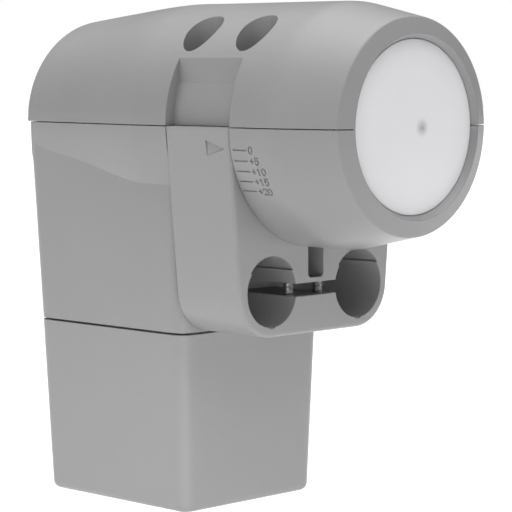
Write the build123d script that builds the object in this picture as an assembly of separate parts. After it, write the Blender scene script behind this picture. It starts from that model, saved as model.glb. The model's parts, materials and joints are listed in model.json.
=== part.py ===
from build123d import *
import os
from math import atan2, cos, degrees, radians, sin, sqrt

# Clamp-mounted satellite feed unit in a weatherproof housing, millimetres.
# Everything is drawn with the barrel (feed) axis along Y at z = 0, the split plane of the shells
# at z = 0 and the clamp bracket's front face at y = 0.  The front of the unit faces -Y.
# On export every piece is lifted so that the origin is midway between the two tube axes.

# ---- overall sizes ----
barrel_r = 39.0            # outer radius of the barrel
barrel_front = -43.2       # front lip of the barrel
barrel_rear = 103.3        # rear wall, outside
bracket_depth = 28.1       # clamp bracket, front to rear
cover_height = 58.5        # connector cover, top edge to bottom edge
wall = 2.4                 # wall of the shells
split_gap = 0.3            # joint line between the two shells
cover_gap = 0.7            # joint line between tower and cover

# ---- front ring and radome cap ----
cap_r = 27.0               # radome cap where it passes the front ring
cap_clear = 0.2            # radial gap round the cap
cap_dome = 3.4             # height of the dome
cap_wall = 1.8
cap_flange = (3.5, 1.6)    # how far it stands out, and its thickness
lip_width = 1.6            # from the cap to the sharp front lip
lip_rise = 2.0             # the lip stands this far forward of the dome's foot
band_width = 5.4           # from the lip to the outer rim
rim_round = 0.8
ring_t = 2.6               # thickness of the front ring at the cap
seat_gap = 0.1             # endwise play of the cap and the horn
taper_length = 23.0        # conical front of the barrel
shoulder_round = 31.0      # soft bend between cone and barrel
cap_edge_y = barrel_front + lip_rise
ring_back = cap_edge_y + ring_t
lip_r = cap_r + lip_width
band_r = lip_r + band_width
shoulder_y = cap_edge_y + taper_length
front_slope = (barrel_r - band_r) / taper_length

# ---- neck that turns in the clamp bracket ----
side_gap = 0.3             # between bracket and the shoulders of the housing
neck_step = 3.6            # the neck is this much smaller than the barrel
neck_gap = 0.3             # radial gap between neck and bracket
window_step = 2.7          # the flat window wall lies this far inside the neck
shoulder_wall = 5.0        # thickness of the grooved shoulders
flange_lift = 0.8          # from the bracket's bore to its retaining flange
flange_height = 1.3
flange_depth = 2.0
flange_gap = 0.3
flange_half_angle = 62.0   # the flange covers this much each side of the bottom
neck_r = barrel_r - neck_step
saddle_r = neck_r + neck_gap
window_flat = neck_r - window_step
flange_inner = saddle_r + flange_lift
flange_outer = flange_inner + flange_height

# ---- tube clamp ----
tube_r = 11.0              # tube seats, for 22 mm tubes
tube_gap = 18.0            # between the two seats
saddle_web = 5.7           # saddle to the height of the seats' tops
jaw_wall = 3.2             # wall round each tube seat
arm_step = 0.1             # the bracket's arms stand this far inside the barrel
slit = 4.2                 # gap that closes when the clamp is tightened
stop_step = 1.4            # rear end stop in each seat
stop_t = 2.5
relief_step = 0.6          # relieved top of each seat
relief_from = 6.6          # height above the tube axis where the relief starts
nick = (2.6, 0.8, 0.35)    # small nick at the foot of each seat: width, length, depth
slot_width = 7.1           # slot in the front face
slot_rise = 3.6            # its floor, above the tube axes
slot_depth = 22.0
slot_round = 1.5
front_round = 1.2          # rounded front edge of the bracket
clamp_screw_x = 6.7        # clamp screws each side of the middle
clamp_screw_y = 5.8
clamp_screw_r = 1.75
clamp_bite = 4.9           # from the screw tips to the saddle
head_r = 3.4
head_h = 2.4
head_round = 1.0
washer_r = 4.2
washer_t = 0.8
pocket_clear = 0.2         # radial gap round the washer
head_pocket = 4.6          # depth of the screw head recess in the underside
turn_clear = 0.05          # running clearance of screws in their holes
seat_x = tube_r + tube_gap / 2
tube_drop = saddle_r + saddle_web + tube_r
jaw_r = tube_r + jaw_wall
arm_half = barrel_r - arm_step
underside = -tube_drop - jaw_r
slot_floor = slot_rise - tube_drop
clamp_screw_tip = -saddle_r - clamp_bite
washer_top = underside + head_pocket
head_top = washer_top - washer_t

# ---- tower and connector cover ----
tower_step = 4.3           # at the split plane each side lies this far inside the barrel
tower_lead = 0.6           # its front lies this far ahead of the bracket's rear face
tower_draft = (2.4, 1.0, 2.8)       # taper of each side, the front and the rear down to the foot
cover_draft = (2.5, 1.4, 1.7)       # the same for the cover
tower_drop = 0.2           # the foot lies this far below the bracket
corner_r = 4.8
smallest_corner = 1.0      # inside corners are at least this round
cover_wall = 2.2
cover_lip = 5.0            # inward lip round the bottom of the cover
cover_round = 2.6
rail_stand = 3.6           # inside the cover's wall to the inner face of each guide rail
rail_t = 2.2
rail_width = 10.0
rail_short = 7.8           # the rails end this far above the cover's floor
rail_gap = 0.35
rib_t = 1.6
collar_t = 1.6             # collar of the connector plate, inside the cover's top edge
collar_depth = 4.5
tower_bottom = underside - tower_drop
tower_top = (barrel_r - tower_step, bracket_depth - tower_lead, barrel_rear)
tower_foot = (tower_top[0] - tower_draft[0], tower_top[1] + tower_draft[1], tower_top[2] - tower_draft[2])
cover_foot = (tower_foot[0] - cover_draft[0], tower_foot[1] + cover_draft[1], tower_foot[2] - cover_draft[2])
tower_middle = (tower_foot[1] + tower_foot[2]) / 2
cover_top = tower_bottom - cover_gap
cover_bottom = cover_top - cover_height
rail_x = cover_foot[0] - cover_wall - rail_stand
rail_end = cover_bottom + cover_wall + rail_short

# ---- tapering rear of the barrel ----
straight_length = 15.9     # straight barrel behind the bracket
taper_start = bracket_depth + straight_length
rear_shares = (0.0, 0.27, 0.52, 0.78, 1.0)          # stations along the taper
rear_narrowing = (0.0, 1.2, 2.5, 3.3, tower_step)   # of the half width at each station
rear_lowering = (0.0, 0.5, 2.0, 3.7, 5.3)           # of the crown at each station
rear_round = 3.2           # rounding of the upper shell's rear edge

# ---- shell screws and their wells ----
well_r = 6.5
well_wall = 1.3
well_edge = 0.2            # from the well's wall to the flat of the window
well_inset = (1.8, 2.5)    # well axes from the front and the rear of the bracket
well_floor = 8.0
post_r = 5.0
shell_screw_r = 1.75
shell_screw_end = 4.9      # from the screw tips to the inside of the neck
well_x = window_flat - well_edge - well_wall - well_r
well_y = (well_inset[0], bracket_depth - well_inset[1])
shell_screw_tip = shell_screw_end - sqrt((neck_r - wall) ** 2 - well_x ** 2)

# ---- feed horn and waveguide ----
guide_bore = 9.5           # circular waveguide
guide_wall = 2.2
seal_t = 1.4
horn_step = 2.0            # the horn's cup is this much smaller than the cap
horn_length = 15.5         # straight part of the cup
horn_flange = (4.0, 2.5)   # how far it stands out from the cap's radius, and its thickness
horn_flare = 10.0          # from the cup to the waveguide socket
socket_wall = 1.0
socket_depth = 5.0
choke_wall = 1.6
choke_rise = 2.0           # each choke is this much shallower than the one outside it
mouth = (3.0, 7.0)         # widening of the bore at the mouth, and its length
cradle_clear = 0.3
cradle_t = 2.0
horn_r = cap_r - horn_step
horn_front = ring_back + seat_gap + cap_flange[1] + seal_t
horn_back = horn_front + horn_length
socket_start = horn_back + horn_flare
guide_outer = guide_bore + guide_wall

# ---- electronics ----
casting_side = 6.9         # from the tower's inside wall to the casting
casting_lead = 12.5        # from the tower's front to the casting
casting_end = 17.3         # from the casting to the tower's rear
casting_top = 17.0
casting_wall = 2.6
casting_round = 3.0
casting_lid_t = 2.4
gasket_t = 0.8
board_set = 20.0           # from the casting's front to the board
board_t = 1.6
guide_set = 12.0           # from the casting's front to the end of the waveguide
shield_t = 0.6
shield_size = (24.0, 42.0, 6.0)     # width, height and depth
shield_top = 4.0
corner_screw = 3.4         # lid screws from the casting's edges
corner_post = 3.0
small_screw_r = 1.25
connector_x = 12.0
connector_spread = 8.5     # each way from the middle of the casting
connector_r = 4.75
connector_drop = 17.2      # from the tower's foot to the sockets' tips
connector_bore = 3.2
collar_r = 4.0             # where a socket enters the casting
thread_pitch = 1.6
plate_recess = 2.4
plate_t = 3.0
connector_stand = 4.4      # casting above the connector plate
lug_clear = 0.3
plate_screw_side = 7.8
plate_screw_ends = (11.5, 10.5)
fit_gap = 0.05             # between round pieces that seat in each other
probe_set = (3.5, 11.5)    # the two probes behind the neck's middle station
probe_r = (1.2, 0.5)       # insulating sleeve and pin
casting_half = tower_foot[0] - wall - casting_side
casting_front = tower_top[1] + casting_lead
casting_back = barrel_rear - casting_end
plate_z = (tower_bottom + plate_recess, tower_bottom + plate_recess + plate_t)
casting_bottom = plate_z[1] + connector_stand
lug_height = connector_stand - lug_clear
board_y = casting_front + board_set
board_back = board_y + board_t
guide_rear = casting_front + guide_set
connector_middle = (casting_front + casting_back) / 2
connector_y = (connector_middle - connector_spread, connector_middle + connector_spread)
connector_tip = tower_bottom - connector_drop
connector_hex = 2 * connector_r + 1.5
nut_hex = 2 * connector_r + 3.5
nut_t = 2.0
washer_seal = (1.85, 0.6)  # how far each sealing washer stands out, and its thickness
probe_y = (bracket_depth - 7.6 + probe_set[0], bracket_depth - 7.6 + probe_set[1])

# ---- skew scale ----
scale_zero = 10.0          # the zero mark is this far below the split plane
scale_step = 5.0
scale_labels = ("0", "5", "10", "15", "20")
mark_y = (-7.0, -1.3)
mark_width = 0.5
mark_depth = 0.3
digit_height = 2.6
digit_pitch = 2.0
pen = 0.42                 # stroke of the numerals
label_start = 1.8          # from the marks to the first character
label_width = 8.0
pointer = ((10.7, -4.2), (10.3, -8.9), (2.5, -6.6))
pointer_depth = 0.45

far = 300.0                # reach of cutting bodies


def block(x0, x1, y0, y1, z0, z1):
    """Box from its limits."""
    middle = Pos((x0 + x1) / 2, (y0 + y1) / 2, (z0 + z1) / 2)
    return middle * Box(x1 - x0, y1 - y0, z1 - z0)


def rod_y(radius, y0, y1, x=0.0, z=0.0):
    """Cylinder along Y."""
    return Pos(x, (y0 + y1) / 2, z) * Rot(90, 0, 0) * Cylinder(radius, y1 - y0)


def rod_z(radius, z0, z1, x=0.0, y=0.0):
    """Upright cylinder."""
    return Pos(x, y, (z0 + z1) / 2) * Cylinder(radius, z1 - z0)


def rod_x(radius, x0, x1, y=0.0, z=0.0):
    """Cylinder along X."""
    return Pos((x0 + x1) / 2, y, z) * Rot(0, 90, 0) * Cylinder(radius, x1 - x0)


def pipe_y(inner, outer, y0, y1):
    """Ring along Y on the barrel axis."""
    return rod_y(outer, y0, y1) - rod_y(inner, y0 - 1, y1 + 1)


def turned(face):
    """Body of revolution about the barrel axis; the face holds (radius, y)."""
    return revolve(face, Axis.Y, 360)


def hexagon(across_flats, z0, z1, x, y):
    """Upright hexagonal prism."""
    radius = across_flats / sqrt(3)
    return extrude(Pos(x, y, z0) * RegularPolygon(radius, 6), z1 - z0)


def upper_half(solid, edge):
    """What lies above the split plane by more than edge."""
    return solid & block(-far, far, -far, far, edge, far)


def lower_half(solid, edge):
    """What lies below the split plane by more than edge."""
    return solid & block(-far, far, -far, far, -far, -edge)


# ---- outer form ----
def front_barrel():
    """Barrel from the front lip to the end of the straight part."""
    hole = cap_r + cap_clear
    outline = Polyline((0, ring_back), (0, cap_edge_y), (hole, cap_edge_y), (lip_r, barrel_front),
                       (band_r, cap_edge_y), (barrel_r, shoulder_y), (barrel_r, taper_start),
                       (0, taper_start), close=True)
    body = turned(make_face(outline))
    rings = body.edges().filter_by(GeomType.CIRCLE)
    rim = rings.sort_by(lambda e: abs(e.center().Y - cap_edge_y) + abs(e.radius - band_r))[0]
    body = fillet(rim, rim_round)
    rings = body.edges().filter_by(GeomType.CIRCLE)
    bend = rings.sort_by(lambda e: abs(e.center().Y - shoulder_y) + abs(e.radius - barrel_r))[0]
    body = fillet(bend, shoulder_round)
    return body - rod_y(hole, barrel_front - 1, ring_back + 1)


def front_space(inset, start, end):
    """Body of revolution that follows the outside of the front barrel at a distance of inset."""
    stretch = sqrt(1 + front_slope ** 2)
    bend = shoulder_y + inset * front_slope / (1 + stretch)
    start_r = barrel_r - inset * stretch - front_slope * (shoulder_y - start)
    outline = Polyline((0, start), (start_r, start), (barrel_r - inset, bend), (barrel_r - inset, end),
                       (0, end), close=True)
    return turned(make_face(outline))


def rear_section(y, half_width, height, inset):
    """Round below the axis, elliptical above it."""
    width = half_width - inset
    above = EllipticalCenterArc((0, 0), width, height - inset, start_angle=0, arc_size=180)
    below = CenterArc((0, 0), width, 180, 180)
    place = Plane((0, y, 0), x_dir=(1, 0, 0), z_dir=(0, -1, 0))
    return place * make_face(Curve() + [above, below])


def rear_barrel(inset=0.0):
    """Tapering rear of the barrel; inset gives the hollow inside it."""
    length = barrel_rear - taper_start
    stations = zip(rear_shares, rear_narrowing, rear_lowering)
    return loft([rear_section(taper_start + share * length, barrel_r - narrow, barrel_r - low, inset)
                 for share, narrow, low in stations])


def tower_face(z, half_width, front, rear, radius):
    """Rounded rectangle of the tower or cover at height z."""
    place = Pos(0, (front + rear) / 2, z)
    return place * RectangleRounded(2 * half_width, rear - front, max(radius, smallest_corner))


def tower_block(inset=0.0, extra=0.0):
    """Tapering tower; inset gives the hollow inside it, extra lengthens it downwards."""
    (w1, f1, r1), radius = tower_top, corner_r - inset
    down = 1 - extra / tower_bottom
    w2, f2, r2 = [a + (b - a) * down for a, b in zip(tower_top, tower_foot)]
    top = tower_face(0, w1 - inset, f1 + inset, r1 - inset, radius)
    foot = tower_face(tower_bottom - extra, w2 - inset, f2 + inset, r2 - inset, radius)
    return loft([foot, top])


def outer_form():
    """Outside of both shells and the tower, before the neck is cut."""
    rear = rear_barrel()
    above = upper_half(rear, 0)
    rear_edge = above.edges().filter_by(lambda e: e.center().Y > barrel_rear - 0.01 and e.center().Z > 1)
    above = fillet(rear_edge, rear_round)
    below = lower_half(rear, 0) - rear_corners()
    return front_barrel() + above + below + tower_block()


def rear_corners():
    """What is cut from the lower barrel so that its rear follows the tower's wall and corners."""
    start = barrel_rear - 3 * corner_r
    keep_top = tower_face(0.1, tower_top[0], start, tower_top[2], corner_r)
    keep_foot = tower_face(tower_bottom, tower_top[0], start, tower_foot[2], corner_r)
    return block(-far, far, barrel_rear - corner_r, far, tower_bottom, 0.1) - loft([keep_foot, keep_top])


def neck_cut():
    """Space round the neck in which the clamp bracket turns, with the windows above it."""
    ring = pipe_y(neck_r, 2 * barrel_r, -side_gap, bracket_depth + side_gap)
    below = ring & block(-far, far, -far, far, -far, 0)
    side = ring & block(window_flat, far, -far, far, -1, far)
    return below + side + mirror(side, Plane.YZ)


def hollow(upper):
    """Inside of the shells; upper picks the half above or below the split plane."""
    edge_r = barrel_r - wall
    shoulder = wall if upper else shoulder_wall
    front_end = -side_gap - shoulder
    rear_start = bracket_depth + side_gap + shoulder
    front = front_space(wall, ring_back, front_end)
    middle = rod_y(neck_r - wall, front_end - 1, rear_start + 1)
    if upper:
        flat = window_flat - wall
        crown = rod_y(edge_r, front_end - 1, rear_start + 1)
        middle = middle + (crown & block(-flat, flat, -far, far, 0, far))
    straight = rod_y(edge_r, rear_start, taper_start)
    rear = rear_barrel(wall) & block(-far, far, -far, barrel_rear - wall, -far, far)
    return front + middle + straight + rear


def well_places():
    """Centres of the four shell screws."""
    return [(x, y) for x in (-well_x, well_x) for y in well_y]


def upper_shell():
    """Upper shell with windows and screw wells."""
    space = hollow(True) - horn_cradle()
    for x, y in well_places():
        space = space - rod_z(well_r + well_wall, well_floor - well_wall, far, x, y)
        space = space - rod_z(post_r, -1, well_floor, x, y)
    body = upper_half(outer_form() - neck_cut() - space, split_gap / 2)
    for x, y in well_places():
        body = body - rod_z(well_r, well_floor, far, x, y)
        body = body - rod_z(shell_screw_r + turn_clear, -1, far, x, y)
    return body


def horn_cradle():
    """Ring that both shells have behind the horn's flange, past the wall on its outside."""
    front = horn_front + horn_flange[1] + seat_gap
    return pipe_y(horn_r + cradle_clear, 2 * barrel_r, front, front + cradle_t)


def tower_hollow():
    """Inside of the tower, clear of the grooved rear shoulder and of the lugs."""
    space = tower_block(wall, 10.0) - rod_y(barrel_r, -far, bracket_depth + side_gap + shoulder_wall)
    for x, y in plate_screw_places():
        x0, x1 = sorted((x - 3 if x > 0 else x + 3, far if x > 0 else -far))
        space = space - block(x0, x1, y - 4, y + 4, plate_z[1], plate_z[1] + lug_height)
    return space


def stroke(x0, y0, x1, y1):
    """Straight pen stroke of a numeral."""
    length = sqrt((x1 - x0) ** 2 + (y1 - y0) ** 2)
    bar = Rectangle(length + pen, pen)
    return Pos((x0 + x1) / 2, (y0 + y1) / 2) * Rot(0, 0, degrees(atan2(y1 - y0, x1 - x0))) * bar


def bow(x, y, radius, start, sweep):
    """Round pen stroke of a numeral."""
    ring = Pos(x, y) * (Circle(radius + pen / 2) - Circle(radius - pen / 2))
    reach = 3 * radius
    angles = [radians(start + sweep * k / 4) for k in range(5)]
    corners = [(x + reach * cos(angle), y + reach * sin(angle)) for angle in angles]
    return ring & make_face(Polyline((x, y), *corners, close=True))


def glyph(sign):
    """One character of the scale, centred, as a flat face."""
    half, low = digit_height / 2, digit_height * 0.28
    if sign == "0":
        outer = Ellipse(low + pen / 2, half)
        return outer - Ellipse(low - pen / 2, half - pen)
    if sign == "1":
        stem = stroke(0, -half + pen / 2, 0, half - pen / 2)
        return stem + stroke(-low * 0.7, half * 0.5, 0, half - pen / 2)
    if sign == "2":
        arm = bow(0, half - low - pen / 2, low, -30, 200)
        arm = arm + stroke(low * 0.87, half - low * 1.9, -low, -half + pen / 2)
        return arm + stroke(-low, -half + pen / 2, low, -half + pen / 2)
    if sign == "5":
        belly = bow(0, -half + low + pen / 2, low, -150, 290)
        belly = belly + stroke(-low * 0.8, half - pen / 2, low, half - pen / 2)
        return belly + stroke(-low * 0.8, half - pen / 2, -low * 0.8, -half * 0.05)
    dash = stroke(-low * 0.8, 0, low * 0.8, 0)
    if sign == "+":
        dash = dash + stroke(0, -low * 0.8, 0, low * 0.8)
    return dash


def scale_marks(side):
    """Engraved degree marks and numerals on one side; side is -1 left, +1 right."""
    depth0 = barrel_r - mark_depth
    cuts = []
    for index, label in enumerate(scale_labels):
        turn = Rot(0, side * (scale_zero + scale_step * index), 0)
        x0, x1 = sorted((side * depth0, side * (barrel_r + 1)))
        cuts.append(turn * block(x0, x1, mark_y[0], mark_y[1], -mark_width / 2, mark_width / 2))
        sign = "" if index == 0 else ("+" if side < 0 else "-")
        for place, character in enumerate(sign + label):
            along = label_start + place * digit_pitch
            y = mark_y[0] - along if side < 0 else mark_y[0] - label_width + along
            flat = Plane((side * depth0, y, 0), x_dir=(0, side, 0), z_dir=(side, 0, 0))
            cuts.append(turn * extrude(flat * glyph(character), 1.0))
    return cuts


def flange_ring(gap):
    """Retaining flanges of the bracket, or with a gap the grooves that they run in."""
    inner, outer = flange_inner - gap, flange_outer + gap
    front = pipe_y(inner, outer, -flange_depth - gap, 0)
    rear = pipe_y(inner, outer, bracket_depth, bracket_depth + flange_depth + gap)
    return front + rear


def lower_shell():
    """Lower shell with the tower, the neck, the grooves and the skew scale."""
    space = hollow(False) - horn_cradle()
    for x, y in well_places():
        space = space - rod_z(post_r, -far, 1, x, y)
    body = lower_half(outer_form() - neck_cut() - space, split_gap / 2) - tower_hollow()
    for x, y in well_places():
        body = body - rod_z(shell_screw_r + turn_clear, shell_screw_tip - 1, 1, x, y)
    for x, y in plate_screw_places():
        body = body - rod_z(small_screw_r + turn_clear, plate_z[1] - 1, plate_z[1] + lug_height - 0.4, x, y)
    half = slot_width / 2
    notch = block(-half, half, -4.0, 0, -barrel_r - 1, -barrel_r + 1.3)
    body = body - flange_ring(flange_gap) - notch
    return body - scale_marks(-1) - scale_marks(1)


# ---- clamp bracket and its screws ----
def clamp_screw_places():
    """Centres of the two clamp screws."""
    return [(-clamp_screw_x, clamp_screw_y), (clamp_screw_x, clamp_screw_y)]


def bracket_outline():
    """Outline of the bracket seen from the front, drawn as (x, z)."""
    lobes = [Pos(x, -tube_drop) * Circle(jaw_r) for x in (-seat_x, seat_x)]
    top = Pos(0, -0.5) * Rectangle(2 * arm_half, 1.0)
    edges = []
    for shape in (*lobes, top):
        edges += shape.edges()
    return make_hull(edges)


def clamp_bracket():
    """One-piece saddle and twin tube clamp."""
    front_plane = Plane((0, 0, 0), x_dir=(1, 0, 0), z_dir=(0, -1, 0))
    body = extrude(front_plane * bracket_outline(), -bracket_depth)
    outline = body.edges().filter_by(lambda e: abs(e.center().Y) < 0.01 and e.center().Z < -0.5)
    body = fillet(outline, front_round)
    body = body - rod_y(saddle_r, -far, far)
    flange_edge = -barrel_r * cos(radians(flange_half_angle))
    body = body + (flange_ring(0) & block(-far, far, -far, far, -far, flange_edge))
    for x in (-seat_x, seat_x):
        body = body - tube_seat(x)
    body = body - block(-seat_x, seat_x, -1, far, -tube_drop - slit / 2, -tube_drop + slit / 2)
    half = slot_width / 2
    slot = block(-half, half, -1, slot_depth, slot_floor, -neck_r / 2)
    lower_edges = slot.edges().filter_by(Axis.Y).sort_by(Axis.Z)[:2]
    body = body - fillet(lower_edges, slot_round)
    for x, y in clamp_screw_places():
        body = body - rod_z(clamp_screw_r + turn_clear, underside - 1, clamp_screw_tip + 1, x, y)
        body = body - rod_z(washer_r + pocket_clear, underside - 1, washer_top, x, y)
    return body - pointer_cut(-1) - pointer_cut(1)


def tube_seat(x):
    """Space of one tube seat with its relief, stop and nick."""
    seat_end = bracket_depth - stop_t
    seat = rod_y(tube_r, -1, seat_end, x, -tube_drop)
    through = rod_y(tube_r - stop_step, -1, far, x, -tube_drop)
    relief = rod_y(tube_r + relief_step, -1, seat_end, x, -tube_drop)
    relief = relief & block(-far, far, -far, far, relief_from - tube_drop, far)
    width, length, depth = nick
    foot = block(x - width / 2, x + width / 2, -1, length, -tube_drop - tube_r - depth, -tube_drop)
    return seat + through + relief + foot


def pointer_cut(side):
    """Triangular pointer engraved in one side of the bracket."""
    lean = (arm_half - seat_x - jaw_r) / tube_drop
    floor = arm_half + lean * pointer[0][1] - pointer_depth
    place = Plane((side * floor, 0, 0), x_dir=(0, 1, 0), z_dir=(1, 0, 0))
    return extrude(place * make_face(Polyline(*pointer, close=True)), side * far)


def clamp_screw(x, y):
    """Pan-head screw, head down."""
    shank = rod_z(clamp_screw_r, head_top, clamp_screw_tip, x, y)
    head = rod_z(head_r, head_top - head_h, head_top, x, y)
    low_edge = head.edges().filter_by(GeomType.CIRCLE).sort_by(Axis.Z)[0]
    head = fillet(low_edge, head_round)
    return head + shank - cross_recess(x, y, head_top - head_h, 1)


def cross_recess(x, y, z, direction):
    """Cross recess cut into a screw head from height z."""
    arm, half = 0.56 * head_r, 0.13 * head_r
    z0, z1 = sorted((z - direction, z + direction * 0.6 * head_h))
    across = block(x - arm, x + arm, y - half, y + half, z0, z1)
    return across + block(x - half, x + half, y - arm, y + arm, z0, z1)


def clamp_washer(x, y):
    """Plain washer under the head."""
    washer = rod_z(washer_r, head_top, washer_top, x, y)
    return washer - rod_z(clamp_screw_r + turn_clear, -far, far, x, y)


def shell_screws():
    """Four pan-head screws at the bottom of the wells."""
    screws = []
    for x, y in well_places():
        head = rod_z(head_r, well_floor, well_floor + head_h, x, y)
        shank = rod_z(shell_screw_r, shell_screw_tip, well_floor, x, y)
        screws.append(head + shank - cross_recess(x, y, well_floor + head_h, -1))
    return screws


# ---- radome and feed ----
def dome(radius, edge_y, height):
    """Solid cap of a sphere, bulging to the front."""
    ball = (radius ** 2 + height ** 2) / (2 * height)
    sphere = Pos(0, edge_y - height + ball, 0) * Sphere(ball)
    return sphere & rod_y(radius, edge_y - height - 1, edge_y + 0.01)


def radome_cap():
    """Domed plastic cap with a flange that the front ring holds."""
    flange_front = ring_back + seat_gap
    flange_back = flange_front + cap_flange[1]
    body = dome(cap_r, cap_edge_y, cap_dome) + rod_y(cap_r, cap_edge_y, flange_back)
    body = body + rod_y(cap_r + cap_flange[0], flange_front, flange_back)
    inner_r = cap_r - cap_wall
    body = body - rod_y(inner_r, cap_edge_y, far)
    body = body - dome(inner_r, cap_edge_y + 0.01, cap_dome - 0.7 * cap_wall)
    gate_mark = Pos(0, cap_edge_y - cap_dome - 0.75, 0) * Sphere(1.1)
    return body - gate_mark


def cap_seal():
    """Flat sealing ring between the cap and the feed horn."""
    return pipe_y(cap_r, cap_r + cap_flange[0] - 0.3, horn_front - seal_t, horn_front)


def feed_horn():
    """Cast horn with choke rings and a flange."""
    socket_r = guide_outer + socket_wall
    end = socket_start + socket_depth - 1
    flare = Polyline((0, horn_front), (horn_r, horn_front), (horn_r, horn_back), (socket_r, socket_start),
                     (socket_r, end), (0, end), close=True)
    flange_r, flange_t = cap_r + horn_flange[0], horn_flange[1]
    body = turned(make_face(flare)) + rod_y(flange_r, horn_front, horn_front + flange_t)
    body = body - rod_y(guide_bore, -far, far)
    step = (horn_r - guide_bore) / 3
    for index in range(2):
        outer = horn_r - choke_wall - index * step
        floor = horn_back - choke_wall - index * choke_rise
        body = body - pipe_y(outer - step + choke_wall, outer, horn_front - 1, floor)
    front, back = horn_front - 1, horn_front - 1 + mouth[1]
    cone = Polyline((0, front), (guide_bore + mouth[0], front), (guide_bore, back), (0, back), close=True)
    body = body - turned(make_face(cone))
    return body - rod_y(guide_outer + fit_gap, socket_start - 1, far)


def waveguide():
    """Round tube from the horn into the casting, closed at its rear end."""
    body = pipe_y(guide_bore, guide_outer, socket_start - 1, guide_rear)
    body = body + rod_y(guide_outer, guide_rear - 2, guide_rear)
    sleeve_r = probe_r[0] + fit_gap
    body = body - rod_x(sleeve_r, -far, 0, probe_y[0], 0)
    return body - rod_z(sleeve_r, -far, 0, 0, probe_y[1])


def probe(upright):
    """Pick-up pin with its insulating sleeve, radial in the waveguide."""
    sleeve, pin = probe_r
    start, end = guide_outer + 1.5, 3.5
    if upright:
        y = probe_y[1]
        return rod_z(sleeve, -start, -guide_bore, 0, y) + rod_z(pin, -guide_bore, -end, 0, y)
    y = probe_y[0]
    return rod_x(sleeve, -start, -guide_bore, y) + rod_x(pin, -guide_bore, -end, y)


def lnb_casting():
    """Open-backed cast box that holds the circuit board."""
    half, t = casting_half, casting_wall
    box_out = block(-half, half, casting_front, casting_back, casting_bottom, casting_top)
    box_out = fillet(box_out.edges().filter_by(Axis.Y), casting_round)
    low, high = casting_bottom + t, casting_top - t
    body = box_out - block(-half + t, half - t, casting_front + t, casting_back + 1, low, high)
    for x, z in lid_screw_places():
        body = body + (rod_y(corner_post, casting_front + t, casting_back, x, z) & box_out)
        body = body - rod_y(small_screw_r + turn_clear, casting_back - 8, casting_back + 1, x, z)
    for x, z in board_post_places():
        body = body + rod_y(2.5, casting_front + t - 0.5, board_y, x, z)
        body = body - rod_y(1.0 + turn_clear, board_y - 6, board_y + 1, x, z)
    body = body - rod_y(guide_outer + fit_gap, -far, far)
    for x, y in connector_places():
        body = body - rod_z(collar_r + fit_gap, casting_bottom - 1, casting_bottom + t + 1, x, y)
    return body


def lid_screw_places():
    """Corner screws of the casting lid."""
    side = casting_half - corner_screw
    heights = (casting_bottom + corner_screw, casting_top - corner_screw)
    return [(x, z) for x in (-side, side) for z in heights]


def board_post_places():
    """Posts that carry the circuit board."""
    side = casting_half - 8.0
    return [(x, z) for x in (-side, side) for z in (casting_bottom + 11.0, casting_top - 8.0)]


def connector_places():
    """Centres of the four cable connectors."""
    return [(x, y) for x in (-connector_x, connector_x) for y in connector_y]


def plate_screw_places():
    """Screws that hold the connector plate to the tower."""
    side = tower_foot[0] - plate_screw_side
    ends = (tower_foot[1] + plate_screw_ends[0], tower_foot[2] - plate_screw_ends[1])
    return [(x, y) for x in (-side, side) for y in ends]


def casting_gasket():
    """Flat gasket under the casting lid."""
    half, back = casting_half, casting_back
    ring = block(-half, half, back, back + gasket_t, casting_bottom, casting_top)
    edge = 2 * corner_screw - 0.2
    inner = half - edge
    ring = ring - block(-inner, inner, back - 1, back + 2, casting_bottom + edge, casting_top - edge)
    for x, z in lid_screw_places():
        ring = ring - rod_y(1.5, back - 1, back + 2, x, z)
    return ring


def casting_lid():
    """Rear lid of the casting."""
    front = casting_back + gasket_t
    body = block(-casting_half, casting_half, front, front + casting_lid_t, casting_bottom, casting_top)
    for x, z in lid_screw_places():
        body = body - rod_y(1.5, front - 1, front + casting_lid_t + 1, x, z)
    return body


def casting_screws():
    """Four small screws through the lid."""
    back = casting_back + gasket_t + casting_lid_t
    return [rod_y(2.4, back, back + 1.6, x, z) + rod_y(small_screw_r, casting_back - 7, back, x, z)
            for x, z in lid_screw_places()]


def circuit_board():
    """Upright board on the casting's posts."""
    half = casting_half - casting_wall - 0.6
    board = block(-half, half, board_y, board_back, casting_bottom + 3.4, casting_top - 3.4)
    for x, z in lid_screw_places():
        board = board - rod_y(corner_post + 0.4, board_y - 1, board_y + 3, x, z)
    for x, z in board_post_places():
        board = board - rod_y(1.15, board_y - 1, board_y + 3, x, z)
    return board


def board_screws():
    """Four screws that hold the board."""
    return [rod_y(1.9, board_back, board_back + 1.3, x, z) + rod_y(1.0, board_y - 5, board_back, x, z)
            for x, z in board_post_places()]


def board_chips():
    """Converter and switch circuits on the board."""
    sizes = ((0.0, -6.0, 7.0, 7.0), (0.0, -28.0, 9.0, 7.0), (-9.0, -17.0, 4.0, 4.0), (9.0, -17.0, 4.0, 4.0))
    return [block(x - w / 2, x + w / 2, board_back, board_back + 1.0, z - h / 2, z + h / 2)
            for x, z, w, h in sizes]


def shield_can():
    """Thin metal shield between the board and the lid."""
    width, height, deep = shield_size
    half, low, t = width / 2, shield_top - height, shield_t
    outer = block(-half, half, board_back, board_back + deep, low, shield_top)
    inside = block(-half + t, half - t, board_back - 1, board_back + deep - t, low + t, shield_top - t)
    return outer - inside


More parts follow.
